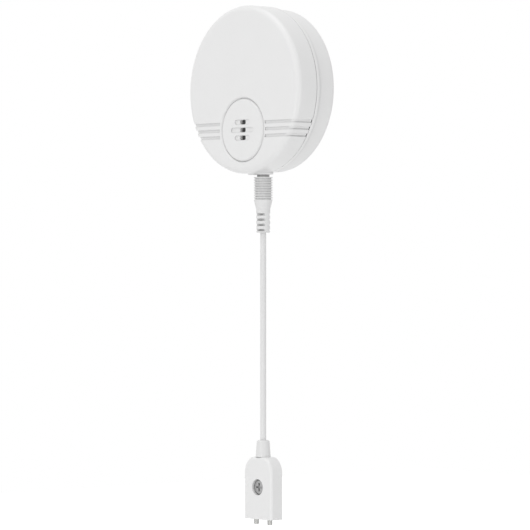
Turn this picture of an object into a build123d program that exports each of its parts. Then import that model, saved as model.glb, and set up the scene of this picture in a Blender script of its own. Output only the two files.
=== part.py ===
from build123d import *
import os

# Water leak sensor: a round unit held on a wall plate, with a two-pin probe hanging on a plug-in lead.
# Frame: origin on the wall behind the middle of the disc, +Z up, front face towards -Y, millimetres.
# Depths are counted from the front face towards the wall.

# Fits shared by all pieces
fit_gap = 0.05
slide_gap = 0.10
loose_gap = 0.20
hull_gap = 0.30
cut_over = 1.0

# Disc: outer form and walls
disc_radius = 30.0
front_edge_fillet = 2.0
back_edge_fillet = 2.0
wall = 1.8
face_thickness = 1.8
floor_thickness = 1.6
recess_depth = 2.0
plate_stand_off = 0.6
pad_thickness = 0.8

# Bought-in parts that set the depth of the unit
board_gap = 4.6
board_thickness = 1.0
jack_height = 5.2
jack_width = 6.4
jack_length = 12.0
battery_radius = 12.25
battery_thickness = 5.0
battery_rim_width = 0.95
battery_rim_height = 0.6
contact_gap = 1.5

# Battery door
door_margin = 0.75
door_battery_gap = 0.2
door_lug_thickness = 0.75
door_lug_gap = 0.15
door_lug_reach = 1.0
door_lug_count = 3
door_lug_angle = 18.0
door_notch_angle = 24.0
door_turn = 40.0
coin_slot_length = 9.0
coin_slot_width = 1.6
coin_slot_depth = 0.8
well_wall = 1.0
well_height = 4.0
well_rib_count = 4
well_rib_width = 1.2

# Depths worked out from the stack
board_depth = face_thickness + board_gap
board_back_depth = board_depth + board_thickness
jack_depth = board_back_depth + jack_height / 2
battery_depth = board_back_depth + contact_gap
battery_back_depth = battery_depth + battery_thickness
door_lug_depth = battery_back_depth + door_battery_gap
floor_depth = door_lug_depth + door_lug_thickness + door_lug_gap
recess_floor_depth = floor_depth + floor_thickness
housing_depth = recess_floor_depth + recess_depth
plate_back_depth = housing_depth + plate_stand_off
total_depth = plate_back_depth + pad_thickness
jack_y = jack_depth - total_depth

# Seam between front cover and rear housing
seam_behind_board = 1.25
seam_gap = 0.3
ring_inset = 0.1
ring_width = 1.0
ring_chamfer = 0.2
step_groove_width = 0.5
step_groove_depth = 0.5
rear_inset = 0.75
lip_height = 2.0
lip_thickness = 1.0
lip_clearance = 0.15
seal_inset = 0.7
seal_width = 0.9
seal_groove_depth = 0.6

cover_depth = board_back_depth + seam_behind_board
flange_depth = cover_depth + seam_gap
ring_end_depth = flange_depth + ring_width
cover_inner_radius = disc_radius - wall
lip_radius = cover_inner_radius - lip_clearance
cavity_radius = lip_radius - lip_thickness
ring_radius = disc_radius - ring_inset
rear_radius = disc_radius - rear_inset
seal_outer_radius = disc_radius - seal_inset
seal_inner_radius = seal_outer_radius - seal_width

# Wall plate with its bayonet, and the recess that takes it
recess_wall = 4.5
bayonet_count = 3
bayonet_first_angle = 30.0
rib_reach = 1.5
rib_thickness = 0.9
rib_angle = 16.0
lug_angle = 14.0
lug_thickness = 0.7
stop_angle = 3.0
stop_slack = 0.4
plate_pocket_depth = 1.2
plate_rim_width = 1.8
screw_spacing = 34.0
screw_hole_radius = 1.8
countersink_radius = 3.5
countersink_angle = 90.0
screw_boss_wall = 0.9
pad_margin = 2.2

recess_radius = rear_radius - recess_wall
rib_inner_radius = recess_radius - rib_reach
plate_radius = rib_inner_radius - hull_gap
plate_front_depth = recess_floor_depth + hull_gap
plate_thickness = plate_back_depth - plate_front_depth
pad_radius = screw_spacing / 2 - screw_hole_radius - pad_margin

# Posts and screws that close the housing
post_count = 3
post_first_angle = 90.0
post_radius = 3.2
post_margin = 0.8
housing_screw_radius = 1.05
housing_screw_hole_radius = 1.3
housing_head_radius = 2.1
housing_head_height = 1.2
housing_head_well = 1.5
pilot_floor = 0.5

post_circle_radius = recess_radius - housing_head_radius - post_margin
head_seat_depth = recess_floor_depth - housing_head_well

# Battery well, placed just under the top post
door_radius = battery_radius + door_margin
door_hole_radius = door_radius + slide_gap
door_lug_radius = door_radius + door_lug_reach
well_inner_radius = door_lug_radius + loose_gap
well_outer_radius = well_inner_radius + well_wall
battery_rise = post_circle_radius - post_radius - well_outer_radius - loose_gap

# Jack and the collar round it
collar_radius = 5.5
collar_proud = 0.25
collar_flange_reach = 1.0
collar_flange_thickness = 0.9
saddle_rise = 0.45
saddle_side = 2.1
saddle_wall = 1.0
saddle_root = 0.55
nose_radius = 2.95
nose_recess = 0.5
jack_bore_radius = 1.8
contact_thickness = 0.25
contact_width = 1.8

collar_bottom_z = -(disc_radius + collar_proud)
saddle_top_z = -(cavity_radius - saddle_rise)
saddle_root_z = -(cavity_radius + saddle_root)
saddle_half_width = collar_radius + saddle_side
jack_bottom_z = saddle_top_z + collar_flange_thickness
board_chord_z = jack_bottom_z + loose_gap
nose_bottom_z = collar_bottom_z + nose_recess
board_radius = cavity_radius - loose_gap - loose_gap

# Test button
button_radius = 11.25
button_margin = 4.3
button_travel = 0.5
button_edge_chamfer = 0.55
cap_thickness = 1.5
skirt_thickness = 1.25
flange_reach = 0.9
flange_thickness = 0.8
flange_gap = 0.1
ear_reach = 1.4
ear_width = 3.0
guide_rib_width = 1.0
guide_rib_length = 1.8
guide_rib_height = flange_gap + flange_thickness + button_travel + loose_gap
slot_pitch = 2.8
slot_height = 1.85
slot_recess = 0.35
slot_lengths = (8.1, 12.2, 8.1)
sound_hole_length = 3.0
sound_hole_height = 1.6
sound_hole_corner = 0.55
stem_rise = 7.0
stem_radius = 1.6

button_drop = disc_radius - button_radius - button_margin
button_bore_radius = button_radius + slide_gap
button_flange_radius = button_radius + flange_reach
button_flange_depth = face_thickness + flange_gap
skirt_inner_radius = button_radius - skirt_thickness
skirt_end_depth = button_flange_depth + flange_thickness

# Grooves across the face
face_groove_width = 1.1
face_groove_depth = 0.4
face_groove_pitch = 2.4
face_groove_count = 3
button_land = 1.0

# Push switch, sounder and gasket behind the button
switch_width = 4.6
switch_height = 2.5
switch_rim_chamfer = 0.3
plunger_radius = 1.2
plunger_height = 1.2
plunger_root = 1.0
plunger_well = plunger_root + button_travel + slide_gap
sounder_radius = 4.3
sounder_height = 3.0
sounder_hole_radius = 0.9
sounder_hole_depth = 0.8
sounder_chamfer = 0.3
gasket_inset = 0.1
gasket_width = 0.9
led_length = 3.0
led_width = 1.6
led_height = 1.1

switch_top_depth = board_depth - switch_height
stem_end_depth = switch_top_depth - plunger_height
gasket_inner_radius = skirt_inner_radius + gasket_inset

# Radio module
module_width = 16.0
module_height = 14.0
module_board_thickness = 0.8
module_can_width = 11.5
module_can_height = 9.6
module_can_thickness = 1.8
module_can_drop = 1.6
module_rise = 8.0

# Plug on the lead
neck_radius = 2.25
neck_show = 0.8
sleeve_radius = 1.75
plug_length = 14.0
tip_length = 3.8
tip_waist_radius = 1.15
tip_point_radius = 0.6
insulator_length = 0.9
insulator_radius = 1.05
core_radius = 0.65
tail_length = 4.0
tail_radius = 1.9
grip_radius = 3.35
grip_length = 8.3
grip_rib_count = 9
grip_rib_pitch = 0.9
grip_rib_share = 0.5
grip_rib_depth = 0.5
grip_taper_length = 3.2
relief_radius = 2.52
relief_length = 8.45
relief_slot_count = 4
relief_slot_pitch = 1.87
relief_slot_height = 0.8
relief_slot_core = 1.0
relief_first_slot = 1.95
relief_end_chamfer = 0.25

grip_top_z = collar_bottom_z - neck_show
neck_top_z = nose_bottom_z
plug_end_z = neck_top_z + plug_length
tip_root_z = plug_end_z - tip_length
insulator_root_z = tip_root_z - insulator_length
grip_taper_z = grip_top_z - grip_length
relief_top_z = grip_taper_z - grip_taper_length
cable_top_z = relief_top_z - relief_length

# Cable: one straight hanging run
cable_radius = 1.07
cable_length = 74.4

cable_end_z = cable_top_z - cable_length

# Probe
boot_height = 6.0
boot_top_radius = 2.3
boot_foot_radius = 2.7
boot_chamfer = 0.45
boot_flange_width = 5.2
boot_flange_height = 1.0
probe_width = 14.9
probe_thickness = 5.5
probe_height = 22.25
shoulder_height = 6.0
probe_wall = 1.2
probe_face = 1.4
probe_edge_fillet = 1.0
probe_back_fillet = 0.5
lid_thickness = 1.2
lid_rim = 0.75
probe_screw_rise_share = 0.515
screw_recess_radius = 2.9
screw_recess_depth = 1.7
screw_boss_floor = 1.1
screw_recess_wall = 0.8
probe_head_radius = 2.65
probe_head_height = 0.9
probe_shaft_radius = 1.1
probe_cross_length = 3.0
probe_cross_width = 0.7
probe_cross_depth = 0.6
lid_post_wall = 1.2
pin_radius = 0.875
pin_show = 2.0
pin_spacing = 7.25
pin_inner_length = 2.4
pin_head_radius = 1.3
pin_head_height = 0.8
pin_end_chamfer = 0.15
wire_radius = 0.45
wire_bend_radius = 1.2

boot_neck_radius = probe_thickness / 2 - probe_face - slide_gap
boot_foot_z = cable_end_z - boot_height
probe_top_z = boot_foot_z
probe_foot_z = probe_top_z - probe_height
probe_front_y = jack_y - probe_thickness / 2
probe_back_y = jack_y + probe_thickness / 2
probe_screw_z = probe_foot_z + probe_height * probe_screw_rise_share
shoulder_width = probe_width / 2 - boot_foot_radius
lid_front_y = probe_back_y - lid_thickness
boss_end_y = probe_front_y + screw_recess_depth + screw_boss_floor
pin_head_z = probe_foot_z + probe_wall


def face_plane(depth):
    """Plane seen from the front, lying the given depth behind the face."""
    return Plane.XZ.offset(total_depth - depth)


def front_plane_at(y):
    """Plane seen from the front at the given y."""
    return Plane.XZ.offset(-y)


def jack_plane(z):
    """Level plane at the given height, centred on the axis of the jack and lead."""
    return Plane((0, jack_y, z))


def ring_sector(inner, outer, middle, spread):
    """Flat sector of a ring, centred on the angle middle and spread degrees wide."""
    with BuildSketch() as sector:
        with BuildLine():
            far = CenterArc((0, 0), outer, middle - spread / 2, spread)
            near = CenterArc((0, 0), inner, middle - spread / 2, spread)
            Line(far @ 0, near @ 0)
            Line(far @ 1, near @ 1)
        make_face()
    return sector.sketch


def bayonet_angles():
    """Angles of the bayonet ribs round the recess, seen from the front."""
    return [bayonet_first_angle + i * 360 / bayonet_count for i in range(bayonet_count)]


def door_angles():
    """Angles of the lugs of the battery door, seen from the front."""
    return [i * 360 / door_lug_count for i in range(door_lug_count)]


# Front cover: a flat-faced cap with a button bore, three grooves each side and three screw posts
with BuildPart() as groove_core:
    with BuildSketch(face_plane(face_groove_depth)):
        Circle(disc_radius - face_groove_depth)
    extrude(amount=-(cover_depth + cut_over))
    fillet(groove_core.edges().sort_by(Axis.Y)[0], front_edge_fillet - face_groove_depth)

with BuildPart() as face_grooves:
    with BuildSketch(face_plane(-cut_over)):
        with Locations((0, -button_drop)):
            with GridLocations(0, face_groove_pitch, 1, face_groove_count):
                Rectangle(2 * (disc_radius + cut_over), face_groove_width)
            Circle(button_bore_radius + button_land, mode=Mode.SUBTRACT)
    extrude(amount=-(cover_depth + cut_over + seam_gap))
    add(groove_core.part, mode=Mode.SUBTRACT)

with BuildPart() as front_cover:
    with BuildSketch(face_plane(0)):
        Circle(disc_radius)
    extrude(amount=-cover_depth)
    fillet(front_cover.edges().sort_by(Axis.Y)[0], front_edge_fillet)
    # Hollow behind the face
    with BuildSketch(face_plane(cover_depth)):
        Circle(cover_inner_radius)
    extrude(amount=cover_depth - face_thickness, mode=Mode.SUBTRACT)
    # Posts that stand on the circuit board
    with BuildSketch(face_plane(face_thickness)):
        with PolarLocations(post_circle_radius, post_count, start_angle=post_first_angle):
            Circle(post_radius)
    extrude(amount=-board_gap)
    with BuildSketch(face_plane(board_depth)):
        with PolarLocations(post_circle_radius, post_count, start_angle=post_first_angle):
            Circle(housing_screw_radius + fit_gap)
    extrude(amount=board_gap - pilot_floor, mode=Mode.SUBTRACT)
    # Ribs that keep the button from turning
    with BuildSketch(face_plane(face_thickness)):
        with Locations((0, -button_drop)):
            with GridLocations(
                2 * (button_flange_radius + guide_rib_length / 2 + loose_gap),
                ear_width + 2 * slide_gap + guide_rib_width,
                2,
                2,
            ):
                Rectangle(guide_rib_length, guide_rib_width)
    extrude(amount=-guide_rib_height)
    # Saddle and half-round notch for the jack collar
    with BuildSketch(face_plane(jack_depth - collar_radius - saddle_wall)):
        with Locations((0, saddle_root_z)):
            Rectangle(
                2 * saddle_half_width,
                saddle_top_z - saddle_root_z,
                align=(Align.CENTER, Align.MIN),
            )
    extrude(amount=-(cover_depth - jack_depth + collar_radius + saddle_wall))
    with BuildSketch(jack_plane(collar_bottom_z - cut_over)):
        Circle(collar_radius + fit_gap)
    extrude(amount=saddle_top_z - collar_bottom_z + cut_over, mode=Mode.SUBTRACT)
    # Button bore
    with BuildSketch(face_plane(0)):
        with Locations((0, -button_drop)):
            Circle(button_bore_radius)
    extrude(amount=-face_thickness, mode=Mode.SUBTRACT)
    chamfer(front_cover.edges(Select.LAST).sort_by(Axis.Y)[0], button_edge_chamfer)
    add(face_grooves.part, mode=Mode.SUBTRACT)

# Rear housing: a tub with a lip, the visible ring, battery well and bayonet recess
with BuildPart() as rear_housing:
    with BuildSketch(face_plane(cover_depth - lip_height)):
        Circle(lip_radius)
    extrude(amount=-(lip_height + seam_gap))
    with BuildSketch(face_plane(flange_depth)):
        Circle(ring_radius)
    extrude(amount=-ring_width)
    chamfer(rear_housing.edges(Select.LAST).sort_by(Axis.Y)[0], ring_chamfer)
    with BuildSketch(face_plane(ring_end_depth)):
        Circle(rear_radius - step_groove_depth)
    extrude(amount=-step_groove_width)
    with BuildSketch(face_plane(ring_end_depth + step_groove_width)):
        Circle(rear_radius)
    extrude(amount=-(housing_depth - ring_end_depth - step_groove_width))
    fillet(rear_housing.edges().sort_by(Axis.Y)[-1], back_edge_fillet)
    # Hollow and wall-plate recess
    with BuildSketch(face_plane(cover_depth - lip_height)):
        Circle(cavity_radius)
    extrude(amount=-(floor_depth - cover_depth + lip_height), mode=Mode.SUBTRACT)
    with BuildSketch(face_plane(housing_depth)):
        Circle(recess_radius)
    extrude(amount=recess_depth, mode=Mode.SUBTRACT)
    # Bayonet ribs over the recess, and a stop at one end of each
    with BuildSketch(face_plane(housing_depth - rib_thickness)):
        for angle in bayonet_angles():
            add(ring_sector(rib_inner_radius, recess_radius + fit_gap, angle, rib_angle))
    extrude(amount=-rib_thickness)
    with BuildSketch(face_plane(recess_floor_depth)):
        for angle in bayonet_angles():
            stop_middle = angle + (lug_angle + stop_angle) / 2 + stop_slack
            add(ring_sector(rib_inner_radius, recess_radius + fit_gap, stop_middle, stop_angle))
    extrude(amount=-recess_depth)
    # Battery well with its locating ribs
    with BuildSketch(face_plane(floor_depth)):
        with Locations((0, battery_rise)):
            Circle(well_outer_radius)
            Circle(well_inner_radius, mode=Mode.SUBTRACT)
    extrude(amount=well_height)
    with BuildSketch(face_plane(door_lug_depth - door_lug_gap)):
        with Locations((0, battery_rise)):
            with PolarLocations(
                (battery_radius + loose_gap + well_outer_radius) / 2,
                well_rib_count,
                start_angle=180 / well_rib_count,
            ):
                Rectangle(well_outer_radius - battery_radius - loose_gap, well_rib_width)
    extrude(amount=well_height - (floor_depth - door_lug_depth + door_lug_gap))
    # Well wall cut clear of the jack
    with BuildSketch(face_plane(jack_depth + jack_height / 2 + loose_gap)):
        with Locations((0, jack_bottom_z)):
            Rectangle(
                jack_width + 2 * loose_gap,
                jack_length + loose_gap,
                align=(Align.CENTER, Align.MIN),
            )
    extrude(amount=jack_height + loose_gap, mode=Mode.SUBTRACT)
    # Door hole with the notches that let its lugs in
    with BuildSketch(face_plane(recess_floor_depth)):
        with Locations((0, battery_rise)):
            Circle(door_hole_radius)
            for angle in door_angles():
                add(
                    ring_sector(
                        door_radius - door_lug_reach,
                        door_lug_radius + loose_gap,
                        angle - door_turn,
                        door_notch_angle,
                    )
                )
    extrude(amount=floor_thickness, mode=Mode.SUBTRACT)
    # Posts for the closing screws
    with BuildSketch(face_plane(floor_depth)):
        with PolarLocations(post_circle_radius, post_count, start_angle=post_first_angle):
            Circle(post_radius)
    extrude(amount=floor_depth - board_back_depth)
    with BuildSketch(face_plane(recess_floor_depth)):
        with PolarLocations(post_circle_radius, post_count, start_angle=post_first_angle):
            Circle(housing_screw_hole_radius)
    extrude(amount=recess_floor_depth - board_back_depth, mode=Mode.SUBTRACT)
    with BuildSketch(face_plane(recess_floor_depth)):
        with PolarLocations(post_circle_radius, post_count, start_angle=post_first_angle):
            Circle(housing_head_radius + loose_gap)
    extrude(amount=housing_head_well, mode=Mode.SUBTRACT)
    # Lip cut away where the cover's saddle stands, then the housing's own saddle and notch
    with BuildSketch(face_plane(cover_depth - lip_height)):
        with Locations((0, jack_bottom_z)):
            Rectangle(
                2 * (saddle_half_width + loose_gap),
                disc_radius,
                align=(Align.CENTER, Align.MAX),
            )
    extrude(amount=-(lip_height + seam_gap), mode=Mode.SUBTRACT)
    with BuildSketch(face_plane(flange_depth)):
        with Locations((0, saddle_root_z)):
            Rectangle(
                2 * saddle_half_width,
                saddle_top_z - saddle_root_z,
                align=(Align.CENTER, Align.MIN),
            )
    extrude(amount=-(floor_depth - flange_depth))
    # Flat seat for the flange of the collar
    with BuildSketch(face_plane(flange_depth)):
        with Locations((0, saddle_top_z)):
            Rectangle(
                2 * (collar_radius + collar_flange_reach + fit_gap),
                collar_flange_thickness,
                align=(Align.CENTER, Align.MIN),
            )
    extrude(amount=-(floor_depth - flange_depth), mode=Mode.SUBTRACT)
    # Seal groove, and the notch for the collar
    with BuildSketch(face_plane(flange_depth)):
        Circle(seal_outer_radius)
        Circle(seal_inner_radius, mode=Mode.SUBTRACT)
    extrude(amount=-seal_groove_depth, mode=Mode.SUBTRACT)
    with BuildSketch(jack_plane(collar_bottom_z - cut_over)):
        Circle(collar_radius + fit_gap)
    extrude(amount=saddle_top_z - collar_bottom_z + cut_over, mode=Mode.SUBTRACT)

# Seal ring in the seam, open at the collar
with BuildPart() as seal_ring:
    with BuildSketch(face_plane(cover_depth)):
        Circle(seal_outer_radius - fit_gap)
        Circle(seal_inner_radius + fit_gap, mode=Mode.SUBTRACT)
    extrude(amount=-(seam_gap + seal_groove_depth))
    with BuildSketch(jack_plane(collar_bottom_z)):
        Circle(collar_radius + fit_gap)
    extrude(amount=saddle_top_z - collar_bottom_z, mode=Mode.SUBTRACT)

# Jack collar: the round boss under the disc, clamped between the two halves
with BuildPart() as jack_collar:
    with BuildSketch(jack_plane(collar_bottom_z)):
        Circle(collar_radius)
    extrude(amount=saddle_top_z - collar_bottom_z)
    # Flange inside, flat front and back so that it can't turn
    with BuildSketch(jack_plane(saddle_top_z)):
        Circle(collar_radius + collar_flange_reach)
        Rectangle(
            2 * (collar_radius + collar_flange_reach),
            2 * (floor_depth - jack_depth - fit_gap),
            mode=Mode.INTERSECT,
        )
    extrude(amount=collar_flange_thickness)
    # Behind the ring the boss ends flush with the rear wall
    with BuildSketch(face_plane(ring_end_depth)):
        Circle(disc_radius + collar_radius)
        Circle(rear_radius, mode=Mode.SUBTRACT)
    extrude(amount=-(housing_depth - ring_end_depth), mode=Mode.SUBTRACT)
    with BuildSketch(jack_plane(collar_bottom_z)):
        Circle(nose_radius + fit_gap)
    extrude(amount=jack_bottom_z - collar_bottom_z, mode=Mode.SUBTRACT)

# Closing screws
with BuildPart() as housing_screws:
    with BuildSketch(face_plane(head_seat_depth)):
        with PolarLocations(post_circle_radius, post_count, start_angle=post_first_angle):
            Circle(housing_head_radius)
    extrude(amount=-housing_head_height)
    with BuildSketch(face_plane(head_seat_depth)):
        with PolarLocations(post_circle_radius, post_count, start_angle=post_first_angle):
            Circle(housing_screw_radius)
    extrude(amount=head_seat_depth - face_thickness - pilot_floor - loose_gap)

# Circuit board, flat at the bottom to clear the collar
with BuildPart() as circuit_board:
    with BuildSketch(face_plane(board_depth)):
        Circle(board_radius)
        with Locations((0, board_chord_z)):
            Rectangle(
                2 * board_radius,
                board_radius,
                align=(Align.CENTER, Align.MAX),
                mode=Mode.SUBTRACT,
            )
        with PolarLocations(post_circle_radius, post_count, start_angle=post_first_angle):
            Circle(housing_screw_hole_radius, mode=Mode.SUBTRACT)
    extrude(amount=-board_thickness)

# Small parts soldered to the front of the board: place shares of the board radius, and sizes
chip_place_shares = ((-0.57, 0.20), (0.53, 0.24), (0.54, -0.04), (-0.55, -0.06))
chip_sizes = ((5.0, 5.0, 0.9), (4.0, 4.0, 1.8), (3.2, 2.5, 0.8), (3.5, 2.8, 1.9))
chip_chamfer = 0.2

with BuildPart() as board_components:
    for (side_share, rise_share), (chip_width, chip_height, chip_thickness) in zip(
        chip_place_shares, chip_sizes
    ):
        with BuildSketch(face_plane(board_depth)):
            with Locations((side_share * board_radius, rise_share * board_radius)):
                Rectangle(chip_width, chip_height)
        extrude(amount=chip_thickness)
        chamfer(board_components.faces(Select.LAST).sort_by(Axis.Y)[0].edges(), chip_chamfer)

# Radio module with its shield can
with BuildPart() as radio_module:
    with BuildSketch(face_plane(board_depth)):
        with Locations((0, module_rise)):
            Rectangle(module_width, module_height)
    extrude(amount=module_board_thickness)
    with BuildSketch(face_plane(board_depth - module_board_thickness)):
        with Locations((0, module_rise - module_can_drop)):
            RectangleRounded(module_can_width, module_can_height, module_board_thickness)
    extrude(amount=module_can_thickness)

# Sounder behind the slots
with BuildPart() as sounder:
    with BuildSketch(face_plane(board_depth)):
        with Locations((0, -button_drop)):
            Circle(sounder_radius)
    extrude(amount=sounder_height)
    chamfer(sounder.edges().sort_by(Axis.Y)[0], sounder_chamfer)
    with BuildSketch(face_plane(board_depth - sounder_height)):
        with Locations((0, -button_drop)):
            Circle(sounder_hole_radius)
    extrude(amount=-sounder_hole_depth, mode=Mode.SUBTRACT)

# Status light beside the sounder
with BuildPart() as status_led:
    with BuildSketch(face_plane(board_depth)):
        with Locations(((sounder_radius + gasket_inner_radius) / 2, -button_drop)):
            Rectangle(led_width, led_length)
    extrude(amount=led_height)
    fillet(status_led.edges().group_by(Axis.Y)[0], led_height / 2)

# Push switch: base on the board, plunger on the button
with BuildPart() as button_switch:
    with BuildSketch(face_plane(board_depth)):
        with Locations((0, stem_rise - button_drop)):
            Rectangle(switch_width, switch_width)
    extrude(amount=switch_height)
    chamfer(button_switch.edges().group_by(Axis.Y)[0], switch_rim_chamfer)
    with BuildSketch(face_plane(switch_top_depth)):
        with Locations((0, stem_rise - button_drop)):
            Circle(plunger_radius + fit_gap)
    extrude(amount=-plunger_well, mode=Mode.SUBTRACT)

with BuildPart() as switch_plunger:
    with BuildSketch(face_plane(stem_end_depth)):
        with Locations((0, stem_rise - button_drop)):
            Circle(plunger_radius)
    extrude(amount=-(plunger_height + plunger_root))

# Test button: slotted cap with a skirt, flange, two ears and a stem
with BuildPart() as test_button:
    with BuildSketch(face_plane(0)):
        with Locations((0, -button_drop)):
            Circle(button_radius)
    extrude(amount=-skirt_end_depth)
    chamfer(test_button.edges().sort_by(Axis.Y)[0], button_edge_chamfer)
    with BuildSketch(face_plane(button_flange_depth)):
        with Locations((0, -button_drop)):
            Circle(button_flange_radius)
            Rectangle(2 * (button_flange_radius + ear_reach), ear_width)
    extrude(amount=-flange_thickness)
    with BuildSketch(face_plane(cap_thickness)):
        with Locations((0, -button_drop)):
            Circle(skirt_inner_radius)
    extrude(amount=-(skirt_end_depth - cap_thickness), mode=Mode.SUBTRACT)
    with BuildSketch(face_plane(cap_thickness)):
        with Locations((0, stem_rise - button_drop)):
            Circle(stem_radius)
    extrude(amount=-(stem_end_depth - cap_thickness))
    # Three shallow slots, each with a through hole at its middle
    with BuildSketch(face_plane(0)):
        for i, slot_length in enumerate(slot_lengths):
            with Locations((0, -button_drop + (i - 1) * slot_pitch)):
                SlotOverall(slot_length, slot_height)
    extrude(amount=-slot_recess, mode=Mode.SUBTRACT)
    with BuildSketch(face_plane(0)):
        with Locations((0, -button_drop)):
            with GridLocations(0, slot_pitch, 1, len(slot_lengths)):
                RectangleRounded(sound_hole_length, sound_hole_height, sound_hole_corner)
    extrude(amount=-cap_thickness, mode=Mode.SUBTRACT)

# Soft ring that seals the button to the board and presses it forward
with BuildPart() as button_gasket:
    with BuildSketch(face_plane(skirt_end_depth)):
        with Locations((0, -button_drop)):
            Circle(gasket_inner_radius + gasket_width)
            Circle(gasket_inner_radius, mode=Mode.SUBTRACT)
    extrude(amount=-(board_depth - skirt_end_depth))

# Coin cell: the wide can faces the door, the narrow cap faces the board
with BuildPart() as battery:
    with BuildSketch(face_plane(battery_depth + battery_rim_height)):
        with Locations((0, battery_rise)):
            Circle(battery_radius)
    extrude(amount=-(battery_thickness - battery_rim_height))
    fillet(battery.edges().sort_by(Axis.Y)[-1], battery_rim_height / 2)
    with BuildSketch(face_plane(battery_depth)):
        with Locations((0, battery_rise)):
            Circle(battery_radius - battery_rim_width)
    extrude(amount=-battery_rim_height)

# Contact that presses on the side of the cell
with BuildPart() as battery_side_contact:
    with BuildSketch(Plane.XY.offset(battery_rise)):
        with Locations((-(battery_radius + fit_gap), board_back_depth - total_depth)):
            Rectangle(
                contact_thickness,
                contact_gap + battery_thickness * 2 / 3,
                align=(Align.MAX, Align.MIN),
            )
            Rectangle(
                contact_width,
                contact_thickness,
                align=(Align.MIN, Align.MIN),
            )
    extrude(amount=contact_width, both=True)

# Spring leaf that presses on the cap of the cell
leaf_length = 9.0
leaf_foot = 3.0

with BuildPart() as battery_leaf_contact:
    with BuildSketch(Plane.XY.offset(battery_rise)):
        leaf_y = board_back_depth - total_depth
        with BuildLine():
            Polyline(
                (-leaf_foot, leaf_y),
                (0, leaf_y),
                (leaf_length, leaf_y + contact_gap - contact_thickness),
                (leaf_length, leaf_y + contact_gap),
                (leaf_length - contact_width, leaf_y + contact_gap),
                (0, leaf_y + contact_thickness),
                (-leaf_foot, leaf_y + contact_thickness),
                close=True,
            )
        make_face()
    extrude(amount=contact_width, both=True)

# Battery door: coin-slotted disc whose lugs turn under the floor
with BuildPart() as battery_door:
    with BuildSketch(face_plane(recess_floor_depth)):
        with Locations((0, battery_rise)):
            Circle(door_radius)
    extrude(amount=recess_floor_depth - door_lug_depth)
    with BuildSketch(face_plane(door_lug_depth)):
        with Locations((0, battery_rise)):
            for angle in door_angles():
                add(
                    ring_sector(
                        door_radius - door_lug_reach, door_lug_radius, angle, door_lug_angle
                    )
                )
    extrude(amount=-door_lug_thickness)
    with BuildSketch(face_plane(recess_floor_depth)):
        with Locations((0, battery_rise)):
            SlotOverall(coin_slot_length, coin_slot_width)
    extrude(amount=coin_slot_depth, mode=Mode.SUBTRACT)

# Wall plate: a shallow dish with three lugs and two countersunk screw holes
with BuildPart() as wall_plate:
    with BuildSketch(face_plane(plate_front_depth)):
        Circle(plate_radius)
    extrude(amount=-plate_thickness)
    with BuildSketch(face_plane(plate_front_depth)):
        for angle in bayonet_angles():
            add(
                ring_sector(
                    plate_radius - plate_rim_width, recess_radius - hull_gap, angle, lug_angle
                )
            )
    extrude(amount=-lug_thickness)
    with BuildSketch(face_plane(plate_front_depth)):
        Circle(plate_radius - plate_rim_width)
        with GridLocations(screw_spacing, 0, 2, 1):
            Circle(countersink_radius + screw_boss_wall, mode=Mode.SUBTRACT)
    extrude(amount=-plate_pocket_depth, mode=Mode.SUBTRACT)
    with Locations(face_plane(plate_front_depth)):
        with GridLocations(screw_spacing, 0, 2, 1):
            CounterSinkHole(
                radius=screw_hole_radius,
                counter_sink_radius=countersink_radius,
                depth=plate_thickness,
                counter_sink_angle=countersink_angle,
            )

# Foam pad between plate and wall
with BuildPart() as adhesive_pad:
    with BuildSketch(face_plane(plate_back_depth)):
        Circle(pad_radius)
    extrude(amount=-pad_thickness)

# Jack socket: body behind the board, nose down into the collar
with BuildPart() as jack_socket:
    with BuildSketch(jack_plane(jack_bottom_z)):
        Rectangle(jack_width, jack_height)
    extrude(amount=jack_length)
    with BuildSketch(jack_plane(nose_bottom_z)):
        Circle(nose_radius)
    extrude(amount=jack_bottom_z - nose_bottom_z)
    with BuildSketch(jack_plane(nose_bottom_z)):
        Circle(jack_bore_radius)
    extrude(amount=plug_length + loose_gap, mode=Mode.SUBTRACT)

# Spring contacts on both sides of the jack body
contact_rise_shares = (0.25, 0.7)

with BuildPart() as jack_contacts:
    for rise_share in contact_rise_shares:
        with BuildSketch(jack_plane(jack_bottom_z + rise_share * jack_length)):
            with Locations((0, -jack_height / 2)):
                with GridLocations(jack_width + contact_thickness, 0, 2, 1):
                    Rectangle(
                        contact_thickness,
                        jack_height - contact_width,
                        align=(Align.CENTER, Align.MIN),
                    )
        extrude(amount=contact_width)

# Plug: metal sleeve with the visible neck, insulator and tip
with BuildPart() as plug_sleeve:
    with BuildSketch(front_plane_at(jack_y)):
        with BuildLine():
            Polyline(
                (insulator_radius, grip_top_z - tail_length),
                (tail_radius, grip_top_z - tail_length),
                (tail_radius, grip_top_z),
                (neck_radius, grip_top_z),
                (neck_radius, neck_top_z),
                (sleeve_radius, neck_top_z),
                (sleeve_radius, insulator_root_z),
                (insulator_radius, insulator_root_z),
                close=True,
            )
        make_face()
    revolve(axis=Axis((0, jack_y, 0), (0, 0, 1)))

with BuildPart() as plug_insulator:
    with BuildSketch(front_plane_at(jack_y)):
        with BuildLine():
            Polyline(
                (core_radius, grip_top_z - tail_length),
                (insulator_radius - fit_gap, grip_top_z - tail_length),
                (insulator_radius - fit_gap, insulator_root_z),
                (sleeve_radius - fit_gap, insulator_root_z),
                (sleeve_radius - fit_gap, tip_root_z),
                (core_radius, tip_root_z),
                close=True,
            )
        make_face()
    revolve(axis=Axis((0, jack_y, 0), (0, 0, 1)))

tip_waist_share = 0.38
tip_crown_share = 0.62

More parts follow.
